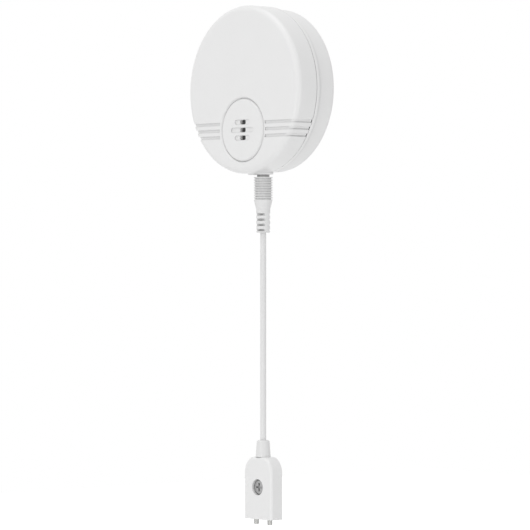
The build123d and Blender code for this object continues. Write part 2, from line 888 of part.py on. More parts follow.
with BuildPart() as plug_tip:
    with BuildSketch(front_plane_at(jack_y)):
        with BuildLine():
            Polyline(
                (0, grip_top_z - tail_length),
                (core_radius - fit_gap, grip_top_z - tail_length),
                (core_radius - fit_gap, tip_root_z),
                (sleeve_radius - fit_gap, tip_root_z),
                (tip_waist_radius, tip_root_z + tip_waist_share * tip_length),
                (sleeve_radius - fit_gap, tip_root_z + tip_crown_share * tip_length),
                (tip_point_radius, plug_end_z),
                (0, plug_end_z),
                close=True,
            )
        make_face()
    revolve(axis=Axis((0, jack_y, 0), (0, 0, 1)))

# Moulded grip: ribbed barrel, taper and slotted strain relief in one piece
with BuildPart() as plug_grip:
    with BuildSketch(front_plane_at(jack_y)):
        with BuildLine():
            rib_height = grip_rib_pitch * grip_rib_share
            outline = [(0, grip_top_z), (grip_radius, grip_top_z)]
            for i in range(grip_rib_count):
                rib_end_z = grip_top_z - i * grip_rib_pitch - rib_height
                next_rib_z = grip_top_z - (i + 1) * grip_rib_pitch
                outline.append((grip_radius, rib_end_z))
                outline.append((grip_radius - grip_rib_depth, rib_end_z))
                outline.append((grip_radius - grip_rib_depth, next_rib_z))
                outline.append((grip_radius, next_rib_z))
            outline.append((grip_radius, grip_taper_z))
            outline.append((relief_radius, relief_top_z))
            outline.append((relief_radius, cable_top_z + relief_end_chamfer))
            outline.append((relief_radius - relief_end_chamfer, cable_top_z))
            outline.append((0, cable_top_z))
            Polyline(*outline, close=True)
        make_face()
    revolve(axis=Axis((0, jack_y, 0), (0, 0, 1)))
    with BuildSketch(jack_plane(grip_top_z)):
        Circle(tail_radius + fit_gap)
    extrude(amount=-(tail_length + fit_gap), mode=Mode.SUBTRACT)
    # Bending slots, front and back
    for i in range(relief_slot_count):
        slot_z = relief_top_z - relief_first_slot - i * relief_slot_pitch
        with BuildSketch(jack_plane(slot_z - relief_slot_height / 2)):
            with GridLocations(0, 2 * (relief_slot_core + relief_radius), 1, 2):
                Rectangle(2 * grip_radius, 2 * relief_radius)
        extrude(amount=relief_slot_height, mode=Mode.SUBTRACT)

# Cable: straight from the strain relief to the probe
with BuildPart() as cable:
    with BuildSketch(jack_plane(cable_end_z)):
        Circle(cable_radius)
    extrude(amount=cable_length)

# Boot where the cable enters the probe, with a neck and flange inside the shell
with BuildPart() as probe_boot:
    with BuildSketch(front_plane_at(jack_y)):
        with BuildLine():
            Polyline(
                (0, cable_end_z),
                (boot_top_radius - boot_chamfer, cable_end_z),
                (boot_top_radius, cable_end_z - boot_chamfer),
                (boot_foot_radius, boot_foot_z),
                (boot_neck_radius, boot_foot_z),
                (boot_neck_radius, probe_top_z - probe_wall),
                (0, probe_top_z - probe_wall),
                close=True,
            )
        make_face()
    revolve(axis=Axis((0, jack_y, 0), (0, 0, 1)))
    with BuildSketch(jack_plane(probe_top_z - probe_wall)):
        RectangleRounded(boot_flange_width, 2 * boot_neck_radius, boot_neck_radius * 2 / 3)
    extrude(amount=-boot_flange_height)


def probe_outline(inset):
    """Front outline of the probe, drawn in by an inset all round."""
    with BuildSketch() as outline:
        with BuildLine():
            side = probe_width / 2 - inset
            top = probe_top_z - inset
            foot = probe_foot_z + inset
            bend = shoulder_width - inset
            drop = shoulder_height - inset
            EllipticalCenterArc((side - bend, top - drop), bend, drop, 0, arc_size=90)
            EllipticalCenterArc((bend - side, top - drop), bend, drop, 90, arc_size=90)
            Line((side - bend, top), (bend - side, top))
            Polyline((-side, top - drop), (-side, foot), (side, foot), (side, top - drop))
        make_face()
    return outline.sketch


# Probe front shell: arched box, open at the back, with a screw recess and two pin holes
with BuildPart() as probe_front_shell:
    with BuildSketch(front_plane_at(probe_front_y)):
        add(probe_outline(0))
    extrude(amount=-probe_thickness)
    foot_edges = (
        probe_front_shell.edges().filter_by(Axis.X).group_by(Axis.Z)[0]
    )
    front_edges = probe_front_shell.faces().sort_by(Axis.Y)[0].edges() - foot_edges
    back_edges = probe_front_shell.faces().sort_by(Axis.Y)[-1].edges() - foot_edges
    fillet(front_edges, probe_edge_fillet)
    fillet(back_edges, probe_back_fillet)
    # Hollow with a ledge for the lid
    with BuildSketch(front_plane_at(probe_back_y)):
        add(probe_outline(lid_rim))
    extrude(amount=lid_thickness, mode=Mode.SUBTRACT)
    with BuildSketch(front_plane_at(lid_front_y)):
        add(probe_outline(probe_wall))
    extrude(amount=lid_front_y - probe_front_y - probe_face, mode=Mode.SUBTRACT)
    # Boss, recess and hole for the screw
    with BuildSketch(front_plane_at(boss_end_y)):
        with Locations((0, probe_screw_z)):
            Circle(screw_recess_radius + screw_recess_wall)
    extrude(amount=boss_end_y - probe_front_y - probe_face)
    with Locations(front_plane_at(probe_front_y)):
        with Locations((0, probe_screw_z)):
            CounterBoreHole(
                radius=probe_shaft_radius + slide_gap,
                counter_bore_radius=screw_recess_radius,
                counter_bore_depth=screw_recess_depth,
                depth=boss_end_y - probe_front_y,
            )
    # Holes for the pins and for the neck of the boot
    with BuildSketch(jack_plane(probe_foot_z)):
        with GridLocations(pin_spacing, 0, 2, 1):
            Circle(pin_radius + fit_gap)
    extrude(amount=probe_wall, mode=Mode.SUBTRACT)
    with BuildSketch(jack_plane(probe_top_z)):
        Circle(boot_neck_radius + fit_gap)
    extrude(amount=-probe_wall, mode=Mode.SUBTRACT)

# Probe lid: flush plate at the back with the post that takes the screw
with BuildPart() as probe_back_lid:
    with BuildSketch(front_plane_at(probe_back_y)):
        add(probe_outline(lid_rim + fit_gap))
    extrude(amount=lid_thickness)
    with BuildSketch(front_plane_at(lid_front_y)):
        with Locations((0, probe_screw_z)):
            Circle(probe_shaft_radius + lid_post_wall)
    extrude(amount=lid_front_y - boss_end_y)
    with BuildSketch(front_plane_at(boss_end_y)):
        with Locations((0, probe_screw_z)):
            Circle(probe_shaft_radius + fit_gap)
    extrude(amount=-(probe_back_y - boss_end_y - lid_thickness / 2), mode=Mode.SUBTRACT)

# Probe screw with a cross recess
with BuildPart() as probe_screw:
    with BuildSketch(front_plane_at(probe_front_y + screw_recess_depth)):
        with Locations((0, probe_screw_z)):
            Circle(probe_head_radius)
    extrude(amount=probe_head_height)
    fillet(probe_screw.edges().sort_by(Axis.Y)[0], probe_head_height / 2)
    with BuildSketch(front_plane_at(probe_front_y + screw_recess_depth)):
        with Locations((0, probe_screw_z)):
            Circle(probe_shaft_radius)
    extrude(amount=-(probe_back_y - probe_front_y - screw_recess_depth - lid_thickness / 2 - fit_gap))
    with BuildSketch(front_plane_at(probe_front_y + screw_recess_depth - probe_head_height)):
        with Locations((0, probe_screw_z)):
            Rectangle(probe_cross_length, probe_cross_width)
            Rectangle(probe_cross_width, probe_cross_length)
    extrude(amount=-probe_cross_depth, mode=Mode.SUBTRACT)

# Sensing pins
with BuildPart() as probe_pins:
    with BuildSketch(jack_plane(probe_foot_z - pin_show)):
        with GridLocations(pin_spacing, 0, 2, 1):
            Circle(pin_radius)
    extrude(amount=pin_show + probe_wall + pin_inner_length)
    chamfer(probe_pins.edges().group_by(Axis.Z)[0], pin_end_chamfer)
    with BuildSketch(jack_plane(pin_head_z)):
        with GridLocations(pin_spacing, 0, 2, 1):
            Circle(pin_head_radius)
    extrude(amount=pin_head_height)

# Wires from the boot round the screw boss to the pins
wire_top_z = probe_top_z - probe_wall - boot_flange_height
wire_start_x = boot_flange_width / 2 - 2 * wire_radius
wire_side_x = screw_recess_radius + screw_recess_wall + wire_radius + hull_gap
wire_shoulder_z = wire_top_z - wire_bend_radius
wire_elbow_z = probe_screw_z - screw_recess_radius - screw_recess_wall
wire_end_z = pin_head_z + pin_inner_length

with BuildPart() as probe_wires:
    for side in (-1, 1):
        with BuildLine(front_plane_at(jack_y)) as wire_path:
            FilletPolyline(
                (side * wire_start_x, wire_top_z),
                (side * wire_start_x, wire_shoulder_z),
                (side * wire_side_x, wire_shoulder_z - 2 * wire_bend_radius),
                (side * wire_side_x, wire_elbow_z),
                (side * pin_spacing / 2, wire_elbow_z - wire_bend_radius),
                (side * pin_spacing / 2, wire_end_z),
                radius=wire_bend_radius / 2,
            )
        with BuildSketch(Plane(origin=wire_path.line @ 0, z_dir=wire_path.line % 0)):
            Circle(wire_radius)
        sweep(path=wire_path.line)

pieces = {
    "adhesive_pad": adhesive_pad,
    "wall_plate": wall_plate,
    "front_cover": front_cover,
    "rear_housing": rear_housing,
    "seal_ring": seal_ring,
    "housing_screws": housing_screws,
    "jack_collar": jack_collar,
    "circuit_board": circuit_board,
    "board_components": board_components,
    "radio_module": radio_module,
    "status_led": status_led,
    "sounder": sounder,
    "button_switch": button_switch,
    "switch_plunger": switch_plunger,
    "test_button": test_button,
    "button_gasket": button_gasket,
    "battery": battery,
    "battery_side_contact": battery_side_contact,
    "battery_leaf_contact": battery_leaf_contact,
    "battery_door": battery_door,
    "jack_socket": jack_socket,
    "jack_contacts": jack_contacts,
    "plug_sleeve": plug_sleeve,
    "plug_insulator": plug_insulator,
    "plug_tip": plug_tip,
    "plug_grip": plug_grip,
    "cable": cable,
    "probe_boot": probe_boot,
    "probe_front_shell": probe_front_shell,
    "probe_back_lid": probe_back_lid,
    "probe_screw": probe_screw,
    "probe_pins": probe_pins,
    "probe_wires": probe_wires,
}

os.makedirs("parts", exist_ok=True)
for name, piece in pieces.items():
    piece.part.label = name
    export_step(piece.part, f"parts/{name}.step")
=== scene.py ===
"""Water leak sensor: finishes, soft parts and the hanging lead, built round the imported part."""

import logging
import math
from dataclasses import dataclass
from enum import Enum
from typing import ClassVar

import bmesh
import bpy
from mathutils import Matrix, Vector


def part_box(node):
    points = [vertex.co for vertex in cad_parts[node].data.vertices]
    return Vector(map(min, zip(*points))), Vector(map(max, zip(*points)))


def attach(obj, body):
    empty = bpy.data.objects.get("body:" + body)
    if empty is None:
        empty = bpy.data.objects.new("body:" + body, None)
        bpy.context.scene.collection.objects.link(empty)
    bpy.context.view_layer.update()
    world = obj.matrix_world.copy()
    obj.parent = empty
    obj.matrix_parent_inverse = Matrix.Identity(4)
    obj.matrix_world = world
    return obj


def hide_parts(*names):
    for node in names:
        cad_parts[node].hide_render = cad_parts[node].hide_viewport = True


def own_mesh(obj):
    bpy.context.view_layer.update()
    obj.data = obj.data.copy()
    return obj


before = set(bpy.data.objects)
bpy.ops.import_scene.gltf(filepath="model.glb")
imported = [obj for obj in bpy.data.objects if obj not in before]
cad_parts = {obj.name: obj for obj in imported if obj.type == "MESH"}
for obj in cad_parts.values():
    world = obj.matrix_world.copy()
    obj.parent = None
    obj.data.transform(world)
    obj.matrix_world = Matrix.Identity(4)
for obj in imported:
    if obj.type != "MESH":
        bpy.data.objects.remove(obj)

MM = 0.001
WHITE = (1.0, 1.0, 1.0, 1.0)
BLACK = (0.0, 0.0, 0.0, 1.0)
log = logging.getLogger("leak_sensor")

Color = tuple[float, float, float]
Point = tuple[float, float, float]
Outline = list[tuple[float, float]]
Feed = bpy.types.NodeSocket | float


class Feel(Enum):
    """How a moulded surface was finished in its tool."""

    SATIN = "satin"
    SOFT = "soft"
    POLISHED = "polished"


@dataclass(frozen=True)
class Texture:
    """Scale and strength of a surface's fine texture.

    Attributes:
        grain_size: Size of one grain, in metres.
        grain_height: Height of the grain, in metres.
        gloss_spread: How far the roughness varies to both sides.
        tint_spread: How far the colour varies to both sides.
    """

    grain_size: float
    grain_height: float
    gloss_spread: float
    tint_spread: float


TEXTURES: dict[Feel, Texture] = {
    Feel.SATIN: Texture(0.16 * MM, 0.0035 * MM, 0.05, 0.012),
    Feel.SOFT: Texture(0.11 * MM, 0.006 * MM, 0.06, 0.018),
    Feel.POLISHED: Texture(0.6 * MM, 0.0008 * MM, 0.04, 0.008),
}


def grey(level: float) -> Color:
    """Returns a neutral colour of one level."""
    return (level, level, level)


def calculate(
    tree: bpy.types.NodeTree, operation: str, *sources: Feed, clamp: bool = False
) -> bpy.types.NodeSocket:
    """Adds one math node.

    Args:
        tree: Tree that gets the node.
        operation: What it works out.
        *sources: The socket or number of each input, in order.
        clamp: Whether the result is kept between 0 and 1.

    Returns:
        The result.
    """
    node = tree.nodes.new("ShaderNodeMath")
    node.operation = operation
    node.use_clamp = clamp
    for socket, source in zip(node.inputs, sources):
        if isinstance(source, bpy.types.NodeSocket):
            tree.links.new(source, socket)
        else:
            socket.default_value = source
    return node.outputs[0]


def brighten(
    tree: bpy.types.NodeTree, color: bpy.types.NodeSocket, value: bpy.types.NodeSocket
) -> bpy.types.NodeSocket:
    """Makes a colour lighter or darker and keeps its hue.

    Args:
        tree: Tree that gets the node.
        color: The colour.
        value: What its brightness is multiplied by.

    Returns:
        The new colour.
    """
    shade = tree.nodes.new("ShaderNodeHueSaturation")
    tree.links.new(color, shade.inputs["Color"])
    tree.links.new(value, shade.inputs["Value"])
    return shade.outputs["Color"]


class NodeGroups:
    """Shader node groups that several finishes share, built once.

    Attributes:
        shut_in: Open share at which the painted shade of a crevice is at its darkest.
        open_samples: Samples that find how open a place is.
        gap_edge: Height in the weave at which a gap begins to turn into thread.
        thread_edge: Height in the weave at which it is all thread.
        cloud_detail: Detail of the clouds in colour and gloss, and of drawn lines.
        grain_detail: Detail of the tool's grain.
    """

    shut_in: ClassVar[float] = 0.2
    open_samples: ClassVar[int] = 8
    gap_edge: ClassVar[float] = 0.55
    thread_edge: ClassVar[float] = 0.75
    cloud_detail: ClassVar[float] = 4.0
    grain_detail: ClassVar[float] = 2.0

    def __init__(self) -> None:
        """Builds every shared group."""
        self.mottle = self._mottle()
        self.grain = self._grain()
        self.occlusion_shade = self._occlusion_shade()
        self.weave = self._weave()
        self.brushing = self._brushing()

    @staticmethod
    def _new(
        name: str,
        inputs: list[tuple[str, str, float | tuple[float, ...]]],
        outputs: list[tuple[str, str]],
    ) -> tuple[bpy.types.NodeTree, bpy.types.Node, bpy.types.Node]:
        """Makes an empty group with named sockets.

        Args:
            name: Name of the group.
            inputs: Socket name, socket type and default value of each input.
            outputs: Socket name and socket type of each output.

        Returns:
            The node tree, its input node and its output node.
        """
        tree = bpy.data.node_groups.new(name, "ShaderNodeTree")
        for label, kind, value in inputs:
            socket = tree.interface.new_socket(label, in_out="INPUT", socket_type=kind)
            socket.default_value = value
        for label, kind in outputs:
            tree.interface.new_socket(label, in_out="OUTPUT", socket_type=kind)
        return tree, tree.nodes.new("NodeGroupInput"), tree.nodes.new("NodeGroupOutput")

    @staticmethod
    def _noise(tree: bpy.types.NodeTree, detail: float) -> bpy.types.Node:
        """Noise that follows the piece's own coordinates.

        Args:
            tree: Tree that gets the nodes.
            detail: Detail of the noise.

        Returns:
            The noise node, with its Scale still free.
        """
        place = tree.nodes.new("ShaderNodeTexCoord")
        noise = tree.nodes.new("ShaderNodeTexNoise")
        noise.inputs["Detail"].default_value = detail
        tree.links.new(place.outputs["Object"], noise.inputs["Vector"])
        return noise

    def _mottle(self) -> bpy.types.NodeTree:
        """Cloudy variation of a surface's colour and gloss.

        Returns:
            A group with the outputs Color and Roughness.
        """
        tree, source, sink = self._new(
            "mottle",
            [
                ("Color", "NodeSocketColor", WHITE),
                ("Tint Spread", "NodeSocketFloat", 0.01),
                ("Roughness", "NodeSocketFloat", 0.5),
                ("Gloss Spread", "NodeSocketFloat", 0.05),
                ("Scale", "NodeSocketFloat", 90.0),
            ],
            [("Color", "NodeSocketColor"), ("Roughness", "NodeSocketFloat")],
        )
        given = source.outputs
        noise = self._noise(tree, self.cloud_detail)
        tree.links.new(given["Scale"], noise.inputs["Scale"])
        centred = calculate(tree, "MULTIPLY_ADD", noise.outputs["Fac"], 2.0, -1.0)
        tint = calculate(tree, "MULTIPLY_ADD", centred, given["Tint Spread"], 1.0)
        gloss = calculate(
            tree, "MULTIPLY_ADD", centred, given["Gloss Spread"], given["Roughness"], clamp=True
        )
        tree.links.new(brighten(tree, given["Color"], tint), sink.inputs["Color"])
        tree.links.new(gloss, sink.inputs["Roughness"])
        return tree

    def _grain(self) -> bpy.types.NodeTree:
        """Fine spark-eroded grain as a height in metres.

        Returns:
            A group with the output Height.
        """
        tree, source, sink = self._new(
            "grain",
            [
                ("Scale", "NodeSocketFloat", 6000.0),
                ("Height", "NodeSocketFloat", 0.004 * MM),
            ],
            [("Height", "NodeSocketFloat")],
        )
        noise = self._noise(tree, self.grain_detail)
        tree.links.new(source.outputs["Scale"], noise.inputs["Scale"])
        height = calculate(tree, "MULTIPLY", noise.outputs["Fac"], source.outputs["Height"])
        tree.links.new(height, sink.inputs["Height"])
        return tree

    def _occlusion_shade(self) -> bpy.types.NodeTree:
        """Colour with painted shade, darker where ambient occlusion finds a surface shut in.

        Returns:
            A group with the output Color.
        """
        tree, source, sink = self._new(
            "occlusion_shade",
            [
                ("Color", "NodeSocketColor", WHITE),
                ("Reach", "NodeSocketFloat", 1.0 * MM),
                ("Start", "NodeSocketFloat", 0.9),
                ("Depth", "NodeSocketFloat", 0.3),
            ],
            [("Color", "NodeSocketColor")],
        )
        given = source.outputs
        # Painted shade: ambient occlusion darkens the colour where the surface is shut in
        open_share = tree.nodes.new("ShaderNodeAmbientOcclusion")
        open_share.samples = self.open_samples
        tree.links.new(given["Reach"], open_share.inputs["Distance"])
        shut = tree.nodes.new("ShaderNodeMapRange")
        shut.inputs["From Max"].default_value = self.shut_in
        tree.links.new(given["Start"], shut.inputs["From Min"])
        tree.links.new(open_share.outputs["AO"], shut.inputs["Value"])
        painted_shade = calculate(tree, "MULTIPLY", shut.outputs["Result"], given["Depth"])
        unshaded = calculate(tree, "SUBTRACT", 1.0, painted_shade, clamp=True)
        tree.links.new(brighten(tree, given["Color"], unshaded), sink.inputs["Color"])
        return tree

    def _weave(self) -> bpy.types.NodeTree:
        """Square weave of threads that run across and up, seen from the front.

        Returns:
            A group with the outputs Color and Height.
        """
        tree, source, sink = self._new(
            "weave",
            [
                ("Color", "NodeSocketColor", WHITE),
                ("Gap Color", "NodeSocketColor", BLACK),
                ("Thread Pitch", "NodeSocketFloat", 0.4 * MM),
                ("Height", "NodeSocketFloat", 0.01 * MM),
            ],
            [("Color", "NodeSocketColor"), ("Height", "NodeSocketFloat")],
        )
        given = source.outputs
        place = tree.nodes.new("ShaderNodeTexCoord")
        axes = tree.nodes.new("ShaderNodeSeparateXYZ")
        tree.links.new(place.outputs["Object"], axes.inputs[0])
        turns = calculate(tree, "DIVIDE", math.pi, given["Thread Pitch"])
        crests = []
        for axis in ("X", "Z"):
            phase = calculate(tree, "MULTIPLY", axes.outputs[axis], turns)
            crests.append(calculate(tree, "ABSOLUTE", calculate(tree, "SINE", phase)))
        thread = calculate(tree, "MAXIMUM", *crests)
        cover = tree.nodes.new("ShaderNodeMapRange")
        cover.inputs["From Min"].default_value = self.gap_edge
        cover.inputs["From Max"].default_value = self.thread_edge
        tree.links.new(thread, cover.inputs["Value"])
        shade = tree.nodes.new("ShaderNodeMixRGB")
        tree.links.new(cover.outputs["Result"], shade.inputs["Fac"])
        tree.links.new(given["Gap Color"], shade.inputs["Color1"])
        tree.links.new(given["Color"], shade.inputs["Color2"])
        height = calculate(tree, "MULTIPLY", thread, given["Height"])
        tree.links.new(shade.outputs["Color"], sink.inputs["Color"])
        tree.links.new(height, sink.inputs["Height"])
        return tree

    def _brushing(self) -> bpy.types.NodeTree:
        """Drawn lines of turned or brushed metal.

        Returns:
            A group with the outputs Roughness and Height.
        """
        tree, source, sink = self._new(
            "brushing",
            [
                ("Stretch", "NodeSocketVector", (40.0, 40.0, 1.0)),
                ("Scale", "NodeSocketFloat", 300.0),
                ("Roughness", "NodeSocketFloat", 0.3),
                ("Spread", "NodeSocketFloat", 0.1),
                ("Height", "NodeSocketFloat", 0.002 * MM),
            ],
            [("Roughness", "NodeSocketFloat"), ("Height", "NodeSocketFloat")],
        )
        given = source.outputs
        place = tree.nodes.new("ShaderNodeTexCoord")
        stretch = tree.nodes.new("ShaderNodeVectorMath")
        stretch.operation = "MULTIPLY"
        tree.links.new(place.outputs["Object"], stretch.inputs[0])
        tree.links.new(given["Stretch"], stretch.inputs[1])
        noise = tree.nodes.new("ShaderNodeTexNoise")
        noise.inputs["Detail"].default_value = self.cloud_detail
        tree.links.new(stretch.outputs[0], noise.inputs["Vector"])
        tree.links.new(given["Scale"], noise.inputs["Scale"])
        lines = noise.outputs["Fac"]
        rough = calculate(tree, "MULTIPLY_ADD", lines, given["Spread"], given["Roughness"])
        height = calculate(tree, "MULTIPLY", lines, given["Height"])
        tree.links.new(rough, sink.inputs["Roughness"])
        tree.links.new(height, sink.inputs["Height"])
        return tree


GROUPS = NodeGroups()


class Finish:
    """Base of the finishes: makes its material once and hands it out.

    Attributes:
        made: Every material that is made so far, by name.
        name: Name of the material.
    """

    made: ClassVar[dict[str, bpy.types.Material]] = {}
    name: str

    def build(self) -> bpy.types.Material:
        """Makes the material; each finish has its own."""
        raise NotImplementedError

    def material(self) -> bpy.types.Material:
        """Hands out the finish's material, which is made on its first use.

        Returns:
            The material.
        """
        if self.name not in Finish.made:
            Finish.made[self.name] = self.build()
        return Finish.made[self.name]

    def blank(self) -> tuple[bpy.types.Material, bpy.types.NodeTree, bpy.types.Node]:
        """Makes a material that holds only its shader and output.

        Returns:
            The material, its node tree and the shader node.
        """
        material = bpy.data.materials.new(self.name)
        material.use_nodes = True
        tree = material.node_tree
        tree.nodes.clear()
        shader = tree.nodes.new("ShaderNodeBsdfPrincipled")
        output = tree.nodes.new("ShaderNodeOutputMaterial")
        tree.links.new(shader.outputs["BSDF"], output.inputs["Surface"])
        return material, tree, shader

    @staticmethod
    def place(
        tree: bpy.types.NodeTree,
        group: bpy.types.NodeTree,
        **values: float | tuple[float, ...],
    ) -> bpy.types.Node:
        """Places a shared group with its own values.

        Args:
            tree: Tree of the material.
            group: The shared group.
            **values: Input values, with an underscore for each space.

        Returns:
            The group node.
        """
        node = tree.nodes.new("ShaderNodeGroup")
        node.node_tree = group
        for label, value in values.items():
            node.inputs[label.replace("_", " ").title()].default_value = value
        return node

    @staticmethod
    def bump(
        tree: bpy.types.NodeTree, shader: bpy.types.Node, height: bpy.types.NodeSocket
    ) -> None:
        """Feeds a height in metres to the shader as a bump.

        Args:
            tree: Tree of the material.
            shader: Shader that gets the normal.
            height: Socket that gives the height.
        """
        relief = tree.nodes.new("ShaderNodeBump")
        relief.inputs["Distance"].default_value = 1.0
        tree.links.new(height, relief.inputs["Height"])
        tree.links.new(relief.outputs["Normal"], shader.inputs["Normal"])


@dataclass(frozen=True)
class MouldedPlastic(Finish):
    """Opaque moulded plastic with a fine tool texture and painted shade in its crevices.

    Attributes:
        name: Name of the material.
        color: Colour of the plastic, linear.
        roughness: Mean roughness.
        feel: Texture of the tool.
        specular: Specular level of the shader.
        painted_shade: How much painted shade darkens the crevices.
        shade_reach: Width of the crevices that get painted shade, in metres.
        shade_start: Open share below which the painted shade begins.
    """

    name: str
    color: Color
    roughness: float
    feel: Feel = Feel.SATIN
    specular: float = 0.4
    # Every moulded plastic gets some painted shade in its crevices unless this is set to zero
    painted_shade: float = 0.25
    shade_reach: float = 1.2 * MM
    shade_start: float = 0.9

    def build(self) -> bpy.types.Material:
        """Makes the plastic.

        Returns:
            The new material.
        """
        texture = TEXTURES[self.feel]
        material, tree, shader = self.blank()
        shader.inputs["Specular IOR Level"].default_value = self.specular
        mottle = self.place(
            tree,
            GROUPS.mottle,
            color=(*self.color, 1.0),
            tint_spread=texture.tint_spread,
            roughness=self.roughness,
            gloss_spread=texture.gloss_spread,
        )
        grain = self.place(
            tree, GROUPS.grain, scale=1 / texture.grain_size, height=texture.grain_height
        )
        # Painted shade: the colour darkens in crevices, seams, grooves and slots where ambient
        # occlusion finds the surface shut in
        occlusion_shade = self.place(
            tree, GROUPS.occlusion_shade, reach=self.shade_reach, start=self.shade_start, depth=self.painted_shade
        )
        tree.links.new(mottle.outputs["Color"], occlusion_shade.inputs["Color"])
        tree.links.new(occlusion_shade.outputs["Color"], shader.inputs["Base Color"])
        tree.links.new(mottle.outputs["Roughness"], shader.inputs["Roughness"])
        self.bump(tree, shader, grain.outputs["Height"])
        return material


@dataclass(frozen=True)
class DrawnMetal(Finish):
    """Metal with fine drawn or turned lines.

    Attributes:
        name: Name of the material.
        color: Colour of the metal, linear.
        roughness: Lowest roughness.
        stretch: How the lines are squeezed along each axis.
        line_height: Height of the lines, in metres.
        line_scale: How fine lines and clouds are.
        line_spread: How much rougher the lines are than the lowest roughness.
        tint_spread: How far the colour varies to both sides.
    """

    name: str
    color: Color
    roughness: float
    stretch: Point = (1.0, 1.0, 30.0)
    line_height: float = 0.0015 * MM
    line_scale: float = 400.0
    line_spread: float = 0.18
    tint_spread: float = 0.08

    def build(self) -> bpy.types.Material:
        """Makes the metal.

        Returns:
            The new material.
        """
        material, tree, shader = self.blank()
        shader.inputs["Metallic"].default_value = 1.0
        mottle = self.place(
            tree,
            GROUPS.mottle,
            color=(*self.color, 1.0),
            tint_spread=self.tint_spread,
            scale=self.line_scale,
        )
        lines = self.place(
            tree,
            GROUPS.brushing,
            stretch=self.stretch,
            scale=self.line_scale,
            roughness=self.roughness,
            spread=self.line_spread,
            height=self.line_height,
        )
        tree.links.new(mottle.outputs["Color"], shader.inputs["Base Color"])
        tree.links.new(lines.outputs["Roughness"], shader.inputs["Roughness"])
        self.bump(tree, shader, lines.outputs["Height"])
        return material


@dataclass(frozen=True)
class Woven(Finish):
    """Base of the finishes that show a square weave.

    Attributes:
        name: Name of the material.
        color: Colour of the threads, linear.
        thread_pitch: Distance between threads, in metres.
        thread_height: How far the threads stand up, in metres.
        gap_shade: How bright the gaps are, as a share of the threads.
        tint_spread: How far the colour varies to both sides.
        roughness: Mean roughness.
        gloss_spread: How far the roughness varies to both sides.
        cloud_scale: How fine the clouds in colour and gloss are.
    """

    name: str
    color: Color
    thread_pitch: float
    thread_height: float
    gap_shade: float
    tint_spread: float
    roughness: float
    gloss_spread: float
    cloud_scale: float

    def coat(self, shader: bpy.types.Node) -> None:
        """Sets the values of the shader that are the same all over."""
        raise NotImplementedError

    def build(self) -> bpy.types.Material:
        """Makes the woven surface.

        Returns:
            The new material.
        """
        material, tree, shader = self.blank()
        self.coat(shader)
        mottle = self.place(
            tree,
            GROUPS.mottle,
            color=(*self.color, 1.0),
            tint_spread=self.tint_spread,
            roughness=self.roughness,
            gloss_spread=self.gloss_spread,
            scale=self.cloud_scale,
        )
        weave = self.place(
            tree,
            GROUPS.weave,
            gap_color=(*(self.gap_shade * part for part in self.color), 1.0),
            thread_pitch=self.thread_pitch,
            height=self.thread_height,
        )
        tree.links.new(mottle.outputs["Color"], weave.inputs["Color"])
        tree.links.new(weave.outputs["Color"], shader.inputs["Base Color"])
        tree.links.new(mottle.outputs["Roughness"], shader.inputs["Roughness"])
        self.bump(tree, shader, weave.outputs["Height"])
        return material


@dataclass(frozen=True)
class SolderMask(Woven):
    """Lacquer over a laminate's glass cloth.

    Attributes:
        lacquer: Weight of the clear top layer.
        lacquer_roughness: Roughness of that layer.
    """

    thread_pitch: float = 0.5 * MM
    thread_height: float = 0.006 * MM
    gap_shade: float = 0.86
    tint_spread: float = 0.12
    roughness: float = 0.38
    gloss_spread: float = 0.08
    cloud_scale: float = 350.0
    lacquer: float = 0.4
    lacquer_roughness: float = 0.2

    def coat(self, shader: bpy.types.Node) -> None:
        """Adds the clear top layer."""
        shader.inputs["Coat Weight"].default_value = self.lacquer
        shader.inputs["Coat Roughness"].default_value = self.lacquer_roughness


@dataclass(frozen=True)
class WovenGauze(Woven):
    """Fine square gauze that keeps dust out of the sound holes.

    Attributes:
        specular: Specular level of the shader.
    """

    thread_pitch: float = 0.22 * MM
    thread_height: float = 0.05 * MM
    gap_shade: float = 0.35
    tint_spread: float = 0.1
    roughness: float = 0.6
    gloss_spread: float = 0.05
    cloud_scale: float = 900.0
    specular: float = 0.3

    def coat(self, shader: bpy.types.Node) -> None:
        """Makes the threads dull."""
        shader.inputs["Specular IOR Level"].default_value = self.specular


